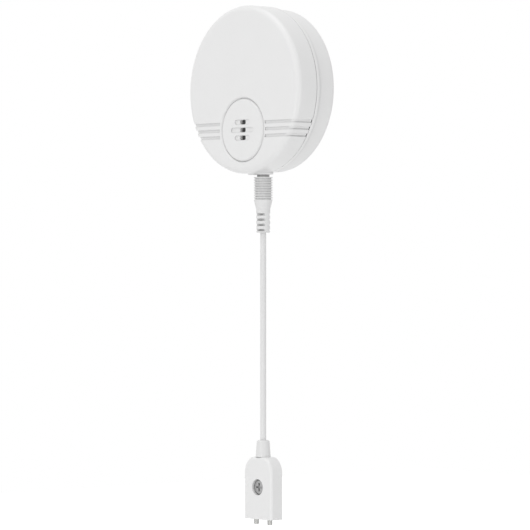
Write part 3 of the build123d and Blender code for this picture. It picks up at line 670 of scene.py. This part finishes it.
@dataclass(frozen=True)
class CellFoam(Finish):
    """Closed-cell foam tape whose fine cells show through its film.

    Attributes:
        name: Name of the material.
        color: Colour of the foam, linear.
        cell_size: Width of one cell, in metres.
        cell_depth: Depth of one cell, in metres.
        cell_reach: Distance from a cell's middle, in cells, at which its shade ends.
        cell_shade: Brightness in the middle and at the edge of a cell.
        tint_spread: How far the colour varies to both sides.
        roughness: Mean roughness.
        gloss_spread: How far the roughness varies to both sides.
        cloud_scale: How fine the clouds in colour and gloss are.
        specular: Specular level of the shader.
    """

    name: str
    color: Color
    cell_size: float = 0.45 * MM
    cell_depth: float = 0.03 * MM
    cell_reach: float = 0.7
    cell_shade: tuple[float, float] = (0.9, 1.06)
    tint_spread: float = 0.05
    roughness: float = 0.75
    gloss_spread: float = 0.12
    cloud_scale: float = 180.0
    specular: float = 0.25

    def build(self) -> bpy.types.Material:
        """Makes the foam.

        Returns:
            The new material.
        """
        material, tree, shader = self.blank()
        shader.inputs["Specular IOR Level"].default_value = self.specular
        mottle = self.place(
            tree,
            GROUPS.mottle,
            color=(*self.color, 1.0),
            tint_spread=self.tint_spread,
            roughness=self.roughness,
            gloss_spread=self.gloss_spread,
            scale=self.cloud_scale,
        )
        where = tree.nodes.new("ShaderNodeTexCoord")
        cells = tree.nodes.new("ShaderNodeTexVoronoi")
        cells.inputs["Scale"].default_value = 1 / self.cell_size
        tree.links.new(where.outputs["Object"], cells.inputs["Vector"])
        distance = cells.outputs["Distance"]
        wall = tree.nodes.new("ShaderNodeMapRange")
        wall.inputs["From Max"].default_value = self.cell_reach
        wall.inputs["To Min"].default_value, wall.inputs["To Max"].default_value = self.cell_shade
        tree.links.new(distance, wall.inputs["Value"])
        shaded = brighten(tree, mottle.outputs["Color"], wall.outputs["Result"])
        tree.links.new(shaded, shader.inputs["Base Color"])
        tree.links.new(mottle.outputs["Roughness"], shader.inputs["Roughness"])
        self.bump(tree, shader, calculate(tree, "MULTIPLY", distance, self.cell_depth))
        return material


class Palette:
    """Every finish of the sensor, by the part that wears it."""

    cover = MouldedPlastic("cover_plastic", grey(0.79), 0.34)
    # Strong painted shade in the seams, and a painted shadow on the rear wall just behind the ring
    housing = MouldedPlastic(
        "housing_plastic", grey(0.79), 0.38, painted_shade=0.85, shade_reach=1.8 * MM, shade_start=0.97
    )
    guide = MouldedPlastic("light_guide", grey(0.80), 0.30, Feel.POLISHED)
    button = MouldedPlastic("button_plastic", grey(0.79), 0.36)
    plate = MouldedPlastic("plate_plastic", grey(0.72), 0.55)
    probe = MouldedPlastic("probe_plastic", grey(0.79), 0.36)
    # Painted shade darkens the grip's rib grooves and the relief's slots
    grip = MouldedPlastic(
        "grip_plastic", grey(0.76), 0.55, Feel.SOFT, painted_shade=0.5, shade_reach=1.4 * MM, shade_start=0.42
    )
    boot = MouldedPlastic("boot_plastic", grey(0.735), 0.50, Feel.SOFT)
    jacket = MouldedPlastic("cable_jacket", grey(0.74), 0.45, Feel.SOFT)
    rubber = MouldedPlastic("seal_silicone", (0.66, 0.66, 0.65), 0.70, Feel.SOFT, specular=0.3)
    foam = CellFoam("pad_foam", (0.66, 0.66, 0.64))
    chip = MouldedPlastic("chip_plastic", (0.022, 0.022, 0.024), 0.45)
    sounder = MouldedPlastic("sounder_case", grey(0.11), 0.50, painted_shade=0.0)
    lens = MouldedPlastic("light_lens", (0.86, 0.86, 0.80), 0.12, Feel.POLISHED, specular=0.5)
    wire = MouldedPlastic("wire_jacket", grey(0.03), 0.40, Feel.SOFT)
    board = SolderMask("board_lacquer", (0.012, 0.16, 0.05))
    gauze = WovenGauze("sound_gauze", grey(0.08))
    shield = DrawnMetal("shield_tin", (0.62, 0.62, 0.60), 0.28, (30.0, 1.0, 1.0))
    screw = DrawnMetal("screw_zinc", grey(0.40), 0.48, (1.0, 30.0, 1.0))
    cell = DrawnMetal("cell_nickel", (0.60, 0.60, 0.59), 0.24, (1.0, 30.0, 1.0))
    contact = DrawnMetal("contact_bronze", (0.62, 0.45, 0.22), 0.26)
    # Nickel-plated metal, set darker than its own colour as painted shade for the neck under the
    # disc
    plug = DrawnMetal("plug_nickel_shaded", grey(0.28), 0.30, (1.0, 1.0, 40.0))
    pin = DrawnMetal("pin_steel", (0.365, 0.365, 0.355), 0.34, (1.0, 1.0, 40.0))


NODE_FINISHES: dict[str, Finish] = {
    "adhesive_pad": Palette.foam,
    "wall_plate": Palette.plate,
    "front_cover": Palette.cover,
    "rear_housing": Palette.housing,
    "seal_ring": Palette.rubber,
    "housing_screws": Palette.screw,
    "jack_collar": Palette.cover,
    "circuit_board": Palette.board,
    "board_components": Palette.chip,
    "radio_module": Palette.shield,
    "status_led": Palette.lens,
    "sounder": Palette.sounder,
    "button_switch": Palette.chip,
    "switch_plunger": Palette.chip,
    "test_button": Palette.button,
    "button_gasket": Palette.rubber,
    "battery": Palette.cell,
    "battery_side_contact": Palette.contact,
    "battery_leaf_contact": Palette.contact,
    "battery_door": Palette.plate,
    "jack_socket": Palette.chip,
    "jack_contacts": Palette.contact,
    "plug_sleeve": Palette.plug,
    "plug_insulator": Palette.chip,
    "plug_tip": Palette.plug,
    "plug_grip": Palette.grip,
    "cable": Palette.jacket,
    "probe_boot": Palette.boot,
    "probe_front_shell": Palette.probe,
    "probe_back_lid": Palette.probe,
    "probe_screw": Palette.screw,
    "probe_pins": Palette.pin,
    "probe_wires": Palette.wire,
}


def dress(piece: bpy.types.Object, finish: Finish) -> None:
    """Gives a piece one finish all over.

    Args:
        piece: Mesh or curve that gets the finish.
        finish: The finish.
    """
    piece.data.materials.clear()
    piece.data.materials.append(finish.material())


def settle(piece: bpy.types.Object, body: str) -> None:
    """Puts a finished piece on its body.

    Args:
        piece: The finished piece.
        body: Body that it rides on.
    """
    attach(piece, body)
    log.info("built %s on %s", piece.name, body)


def add_object(name: str, data: bpy.types.ID) -> bpy.types.Object:
    """Adds an object to the scene.

    Args:
        name: Name of the object.
        data: Its mesh, curve, lamp or camera.

    Returns:
        The object.
    """
    added = bpy.data.objects.new(name, data)
    bpy.context.scene.collection.objects.link(added)
    return added


def round_line(name: str, diameter: float, segments: int) -> bpy.types.Curve:
    """Starts a curve with a round section and closed ends.

    Args:
        name: Name of the curve.
        diameter: Diameter of its section.
        segments: How finely the section is divided.

    Returns:
        The curve, still without a spline.
    """
    line = bpy.data.curves.new(name, "CURVE")
    line.dimensions = "3D"
    line.bevel_depth = diameter / 2
    line.bevel_resolution = segments
    line.use_fill_caps = True
    return line


def lathe(
    name: str,
    outline: Outline,
    centre: Point,
    steps: int,
    start: float = 0.0,
    sweep: float = 360.0,
) -> bpy.types.Object:
    """Turns a closed outline round an axis that runs from front to back.

    Args:
        name: Name of the piece.
        outline: Radius and depth of each of its points, in order.
        centre: A point on the axis; its depth is added to the outline's.
        steps: Number of steps round the axis.
        start: Angle at which it begins, in degrees, counted from +X towards +Z.
        sweep: Angle that it covers, in degrees; 360 closes it.

    Returns:
        The turned piece.
    """
    x, y, z = centre
    mesh = bmesh.new()
    closed = sweep >= 360.0
    rings = []
    for step in range(steps if closed else steps + 1):
        turn = math.radians(start + sweep * step / steps)
        across, up = math.cos(turn), math.sin(turn)
        rings.append(
            [
                mesh.verts.new((x + radius * across, y + depth, z + radius * up))
                for radius, depth in outline
            ]
        )
    if not closed:
        mesh.faces.new(rings[0])
        mesh.faces.new(rings[-1])
    for ring, following in zip(rings, rings[1:] + rings[:1] if closed else rings[1:]):
        for i in range(len(outline)):
            j = (i + 1) % len(outline)
            mesh.faces.new((ring[i], ring[j], following[j], following[i]))
    bmesh.ops.remove_doubles(mesh, verts=mesh.verts, dist=0.001 * MM)
    bmesh.ops.recalc_face_normals(mesh, faces=mesh.faces)
    data = bpy.data.meshes.new(name)
    mesh.to_mesh(data)
    mesh.free()
    for face in data.polygons:
        face.use_smooth = True
    return add_object(name, data)


def arc(centre: tuple[float, float], bend: float, start: float, steps: int = 6) -> Outline:
    """Quarter circle of an outline.

    Args:
        centre: Radius and depth of its centre.
        bend: Its radius.
        start: Angle of its first point, in degrees.
        steps: Steps along it.

    Returns:
        Radius and depth of each point.
    """
    turns = [math.radians(start + 90.0 * step / steps) for step in range(steps + 1)]
    radius, depth = centre
    return [(radius + bend * math.cos(turn), depth + bend * math.sin(turn)) for turn in turns]


@dataclass
class LightGuide:
    """Pale bead that stands in the seam between cover and housing, open at the jack's collar.

    Attributes:
        front: Depth of its front edge.
        back: Depth of its back edge.
        foot: Radius at which it sits on the housing.
        crown: Radius of its crown.
        front_bend: Radius of its front edge.
        back_bend: Radius of its back edge.
        collar_half_width: Half the width that it leaves free for the collar.
        steps: Steps along the bead.
    """

    front: float = -11.09 * MM
    back: float = -9.87 * MM
    foot: float = 29.5 * MM
    crown: float = 29.99 * MM
    front_bend: float = 0.25 * MM
    back_bend: float = 0.16 * MM
    collar_half_width: float = 5.2 * MM
    steps: int = 180

    def build(self) -> bpy.types.Object:
        """Builds the bead over the housing's ring.

        Returns:
            The bead.
        """
        front, back = self.front_bend, self.back_bend
        outline = [(self.foot, self.back), (self.foot, self.front)]
        outline += arc((self.crown - front, self.front + front), front, -90.0)
        outline += arc((self.crown - back, self.back - back), back, 0.0)
        free = math.degrees(math.asin(self.collar_half_width / self.crown))
        bead = lathe(
            "seam_light_guide",
            outline,
            (0.0, 0.0, 0.0),
            self.steps,
            start=free - 90.0,
            sweep=360.0 - 2 * free,
        )
        dress(bead, Palette.guide)
        settle(bead, "sensor")
        return bead


@dataclass
class SoundGauze:
    """Round gauze welded to the back of the button's cap, behind its three holes.

    Attributes:
        radius: Radius of the gauze.
        thickness: Thickness of the gauze.
        weld_width: Width of the welded rim.
        weld_thickness: Thickness of the welded rim.
        weld_corner: Bevel of the rim's outer edge.
        weld_slope: Width over which the rim falls to the gauze.
        cap_depth: Thickness of the button's cap, behind which it sits.
        steps: Steps round the rim.
    """

    radius: float = 4.6 * MM
    thickness: float = 0.12 * MM
    weld_width: float = 0.5 * MM
    weld_thickness: float = 0.25 * MM
    weld_corner: float = 0.08 * MM
    weld_slope: float = 0.1 * MM
    cap_depth: float = 1.5 * MM
    steps: int = 72

    def build(self) -> bpy.types.Object:
        """Builds the gauze so that it moves with the button.

        Returns:
            The gauze.
        """
        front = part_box("test_button")[0].y + self.cap_depth
        back, rim = front + self.thickness, front + self.weld_thickness
        shoulder = self.radius - self.weld_width
        outline = [
            (0.0, front),
            (self.radius, front),
            (self.radius, rim - self.weld_corner),
            (self.radius - self.weld_corner, rim),
            (shoulder, rim),
            (shoulder - self.weld_slope, back),
            (0.0, back),
        ]
        low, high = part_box("button_gasket")
        gauze = lathe("sound_gauze", outline, (0.0, 0.0, (low.z + high.z) / 2), self.steps)
        for face in gauze.data.polygons:
            face.use_smooth = False
        dress(gauze, Palette.gauze)
        settle(gauze, "button")
        return gauze


@dataclass
class ButtonGasket:
    """Soft ring with a drawn-in waist that gives way under the button.

    Attributes:
        width: Width of the ring's wall.
        waist: How far the outside is drawn in, as a share of the width.
        inner_share: How much of the waist the inside follows.
        lip: How far its front and back edges are set back.
        rows: Steps from front to back.
        steps: Steps round the ring.
    """

    width: float = 0.9 * MM
    waist: float = 0.3
    inner_share: float = 0.3
    lip: float = 0.15 * MM
    rows: int = 24
    steps: int = 128

    def build(self) -> bpy.types.Object:
        """Builds the gasket in the space of its solid.

        Returns:
            The gasket.
        """
        low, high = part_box("button_gasket")
        outer = (high.x - low.x) / 2
        inner = outer - self.width * (1 - self.inner_share * self.waist)
        middle = (low.y + high.y) / 2
        half = (high.y - low.y) / 2
        outside, inside = [], []
        for row in range(self.rows + 1):
            along = row / self.rows
            depth = half * (2 * along - 1)
            drawn_in = self.waist * self.width * (1 - math.cos(4 * math.pi * along)) / 2
            lip = self.lip if row in (0, self.rows) else 0.0
            outside.append((outer - drawn_in - lip, depth))
            inside.append((inner - self.inner_share * drawn_in + lip, depth))
        centre = (0.0, middle, (low.z + high.z) / 2)
        ring = lathe("bellows_gasket", outside + inside[::-1], centre, self.steps)
        dress(ring, Palette.rubber)
        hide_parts("button_gasket")
        settle(ring, "sensor")
        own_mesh(ring)
        return ring


@dataclass
class SeamSeal:
    """Round-sectioned ring in the seam, open at the collar.

    Attributes:
        width: Width of the groove that it lies in.
        squeeze: How much thinner it is than its solid, all round.
        collar_half_width: Half the width that it leaves free for the collar.
        segments: How finely its section is divided.
        steps: Steps along the ring.
    """

    width: float = 0.8 * MM
    squeeze: float = 0.02 * MM
    collar_half_width: float = 5.7 * MM
    segments: int = 5
    steps: int = 128

    def build(self) -> bpy.types.Object:
        """Builds the seal in the space of its solid.

        Returns:
            The seal.
        """
        low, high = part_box("seal_ring")
        depth = (low.y + high.y) / 2
        radius = (high.x - low.x - self.width) / 2
        gap = math.asin(self.collar_half_width / radius)
        line = round_line("seal_run", high.y - low.y - 2 * self.squeeze, self.segments)
        spline = line.splines.new("POLY")
        spline.points.add(self.steps)
        for i, point in enumerate(spline.points):
            turn = -math.pi / 2 + gap + 2 * (math.pi - gap) * i / self.steps
            point.co = (radius * math.cos(turn), depth, radius * math.sin(turn), 1.0)
        ring = add_object("seam_seal", line)
        dress(ring, Palette.rubber)
        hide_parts("seal_ring")
        settle(ring, "sensor")
        return ring


@dataclass
class FoamPad:
    """Adhesive foam pad with a film on each face and a soft, bulging rim.

    Attributes:
        film: Thickness of the adhesive film.
        bulge: How far the foam stands out past the film.
        bulge_steps: Steps across the bulge.
        steps: Steps round the pad.
    """

    film: float = 0.08 * MM
    bulge: float = 0.25 * MM
    bulge_steps: int = 8
    steps: int = 128

    def build(self) -> bpy.types.Object:
        """Builds the pad in the space of its solid.

        Returns:
            The pad.
        """
        low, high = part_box("adhesive_pad")
        front, back = low.y, high.y
        edge = (high.x - low.x) / 2 - self.bulge
        middle = (front + back) / 2
        half = (back - front) / 2 - self.film
        outline = [(0.0, front), (edge, front), (edge, front + self.film)]
        for step in range(self.bulge_steps + 1):
            turn = math.pi * (step / self.bulge_steps - 0.5)
            outline.append((edge + self.bulge * math.cos(turn), middle + half * math.sin(turn)))
        outline += [(edge, back - self.film), (edge, back), (0.0, back)]
        pad = lathe("foam_pad", outline, (0.0, 0.0, 0.0), self.steps)
        dress(pad, Palette.foam)
        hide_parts("adhesive_pad")
        settle(pad, "wall_mount")
        return pad


@dataclass
class Lead:
    """The hanging cable between the plug and the probe.

    Attributes:
        axis_y: Depth of the cable's axis.
        top: Height at which the cable leaves the plug's strain relief.
        length: Length of the cable.
        diameter: Diameter of the jacket.
        route: Places along the cable, as shares of its length from the probe.
        segments: How finely its section is divided.
        steps: Steps between two places of the route.
    """

    axis_y: float = -10.0 * MM
    top: float = -51.0 * MM
    length: float = 74.4 * MM
    diameter: float = 2.14 * MM
    route: tuple[float, ...] = (0.0, 0.2, 0.4, 0.6, 0.8, 1.0)
    segments: int = 6
    steps: int = 12

    def build(self) -> bpy.types.Object:
        """Returns:
            The cable.
        """
        line = round_line("cable_run", self.diameter, self.segments)
        spline = line.splines.new("NURBS")
        spline.points.add(len(self.route) - 1)
        foot = self.top - self.length
        for point, share in zip(spline.points, self.route):
            point.co = (0.0, self.axis_y, foot + share * self.length, 1.0)
        spline.order_u = 3
        spline.use_endpoint_u = True
        spline.resolution_u = self.steps
        cable = add_object("hanging_cable", line)
        dress(cable, Palette.jacket)
        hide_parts("cable")
        settle(cable, "probe_lead")
        return cable


@dataclass(frozen=True)
class Lamp:
    """One soft square lamp.

    Attributes:
        name: Name of the lamp.
        place: Where it stands.
        size: Length of its side.
        power: Power in watts.
    """

    name: str
    place: Point
    size: float
    power: float

    def build(self, target: Point) -> bpy.types.Object:
        """Adds the lamp.

        Args:
            target: What it points at.

        Returns:
            The lamp.
        """
        data = bpy.data.lights.new(self.name, "AREA")
        data.shape = "SQUARE"
        data.size = self.size
        data.energy = self.power
        lamp = add_object(self.name, data)
        lamp.location = self.place
        aim = Vector(target) - Vector(self.place)
        lamp.rotation_euler = aim.to_track_quat("-Z", "Y").to_euler()
        return lamp


@dataclass
class Studio:
    """White surroundings, soft lamps and the camera.

    Attributes:
        camera_place: Where the camera stands.
        camera_turn: Angle of the view round the vertical, in degrees.
        lens: Focal length, in millimetres.
        sensor: Width of the sensor, in millimetres.
        clip: Nearest and furthest distance that the camera sees.
        floor_height: Height of the floor.
        floor_size: Side of the floor.
        floor_color: Colour of the floor, linear.
        floor_lift: Light that the camera sees the floor give off, which makes it white.
        sky_light: Strength of the light that the surroundings throw on the object.
        lit_place: What the lamps point at.
        lamps: The lamps.
    """

    camera_place: Point = (815.5 * MM, -728.1 * MM, -62.6 * MM)
    camera_turn: float = 48.6
    lens: float = 205.8
    sensor: float = 36.0
    clip: tuple[float, float] = (0.01, 20.0)
    floor_height: float = -420.0 * MM
    floor_size: float = 6.0
    floor_color: Color = grey(0.8)
    floor_lift: float = 0.62
    sky_light: float = 0.745
    lit_place: Point = (0.0, -0.01, -0.06)
    lamps: tuple[Lamp, ...] = (
        Lamp("front_lamp", (-0.45, -0.95, 0.75), 0.7, 0.6),
        Lamp("top_lamp", (-0.13, -0.42, 1.15), 0.8, 4.2),
        Lamp("low_right_lamp", (1.0, -0.3, -0.36), 0.5, 2.1),
        Lamp("low_front_lamp", (0.2, -0.9, -0.36), 0.5, 2.15),
    )

    def add_camera(self) -> None:
        """Adds the level camera of the photograph's view."""
        data = bpy.data.cameras.new("view")
        data.lens = self.lens
        data.sensor_width = self.sensor
        data.clip_start, data.clip_end = self.clip
        camera = add_object("view", data)
        camera.location = self.camera_place
        camera.rotation_euler = (math.radians(90.0), 0.0, math.radians(self.camera_turn))
        bpy.context.scene.camera = camera

    @staticmethod
    def seen_rays(tree: bpy.types.NodeTree) -> bpy.types.NodeSocket:
        """Tells rays that show the surroundings from rays that light the object.

        Args:
            tree: Tree that gets the nodes.

        Returns:
            A socket that is 1 for camera, glossy and transmission rays.
        """
        rays = tree.nodes.new("ShaderNodeLightPath").outputs
        seen = calculate(tree, "MAXIMUM", rays["Is Camera Ray"], rays["Is Glossy Ray"])
        return calculate(tree, "MAXIMUM", seen, rays["Is Transmission Ray"])

    def add_sky(self) -> None:
        """Adds surroundings that show white and light the object softly."""
        world = bpy.data.worlds.new("surroundings")
        bpy.context.scene.world = world
        world.use_nodes = True
        tree = world.node_tree
        tree.nodes.clear()
        mix = tree.nodes.new("ShaderNodeMixShader")
        tree.links.new(self.seen_rays(tree), mix.inputs["Fac"])
        for i, strength in enumerate((self.sky_light, 1.0), start=1):
            glow = tree.nodes.new("ShaderNodeBackground")
            glow.inputs["Color"].default_value = WHITE
            glow.inputs["Strength"].default_value = strength
            tree.links.new(glow.outputs[0], mix.inputs[i])
        output = tree.nodes.new("ShaderNodeOutputWorld")
        tree.links.new(mix.outputs[0], output.inputs["Surface"])

    def add_floor(self) -> None:
        """Adds the pale floor, lifted to white for the camera."""
        bpy.ops.mesh.primitive_plane_add(size=self.floor_size, location=(0, 0, self.floor_height))
        floor = bpy.context.object
        floor.name = "floor"
        material = bpy.data.materials.new("floor_white")
        material.use_nodes = True
        tree = material.node_tree
        tree.nodes.clear()
        diffuse = tree.nodes.new("ShaderNodeBsdfDiffuse")
        diffuse.inputs["Color"].default_value = (*self.floor_color, 1.0)
        glow = tree.nodes.new("ShaderNodeEmission")
        glow.inputs["Color"].default_value = WHITE
        lift = calculate(tree, "MULTIPLY", self.seen_rays(tree), self.floor_lift)
        tree.links.new(lift, glow.inputs["Strength"])
        both = tree.nodes.new("ShaderNodeAddShader")
        output = tree.nodes.new("ShaderNodeOutputMaterial")
        tree.links.new(diffuse.outputs[0], both.inputs[0])
        tree.links.new(glow.outputs[0], both.inputs[1])
        tree.links.new(both.outputs[0], output.inputs["Surface"])
        floor.data.materials.append(material)

    def build(self) -> None:
        """Sets up camera, surroundings, floor and lamps."""
        self.add_camera()
        self.add_sky()
        self.add_floor()
        for lamp in self.lamps:
            lamp.build(self.lit_place)
        bpy.context.scene.view_settings.view_transform = "Standard"


def main() -> None:
    """Builds every sub-assembly in order."""
    logging.basicConfig(level=logging.INFO, format="%(name)s: %(message)s")
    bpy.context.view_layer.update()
    for name, finish in NODE_FINISHES.items():
        dress(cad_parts[name], finish)
        log.info("dressed %s in %s", name, finish.name)
    Studio().build()
    LightGuide().build()
    SoundGauze().build()
    ButtonGasket().build()
    SeamSeal().build()
    FoamPad().build()
    Lead().build()


if __name__ == "__main__":
    main()
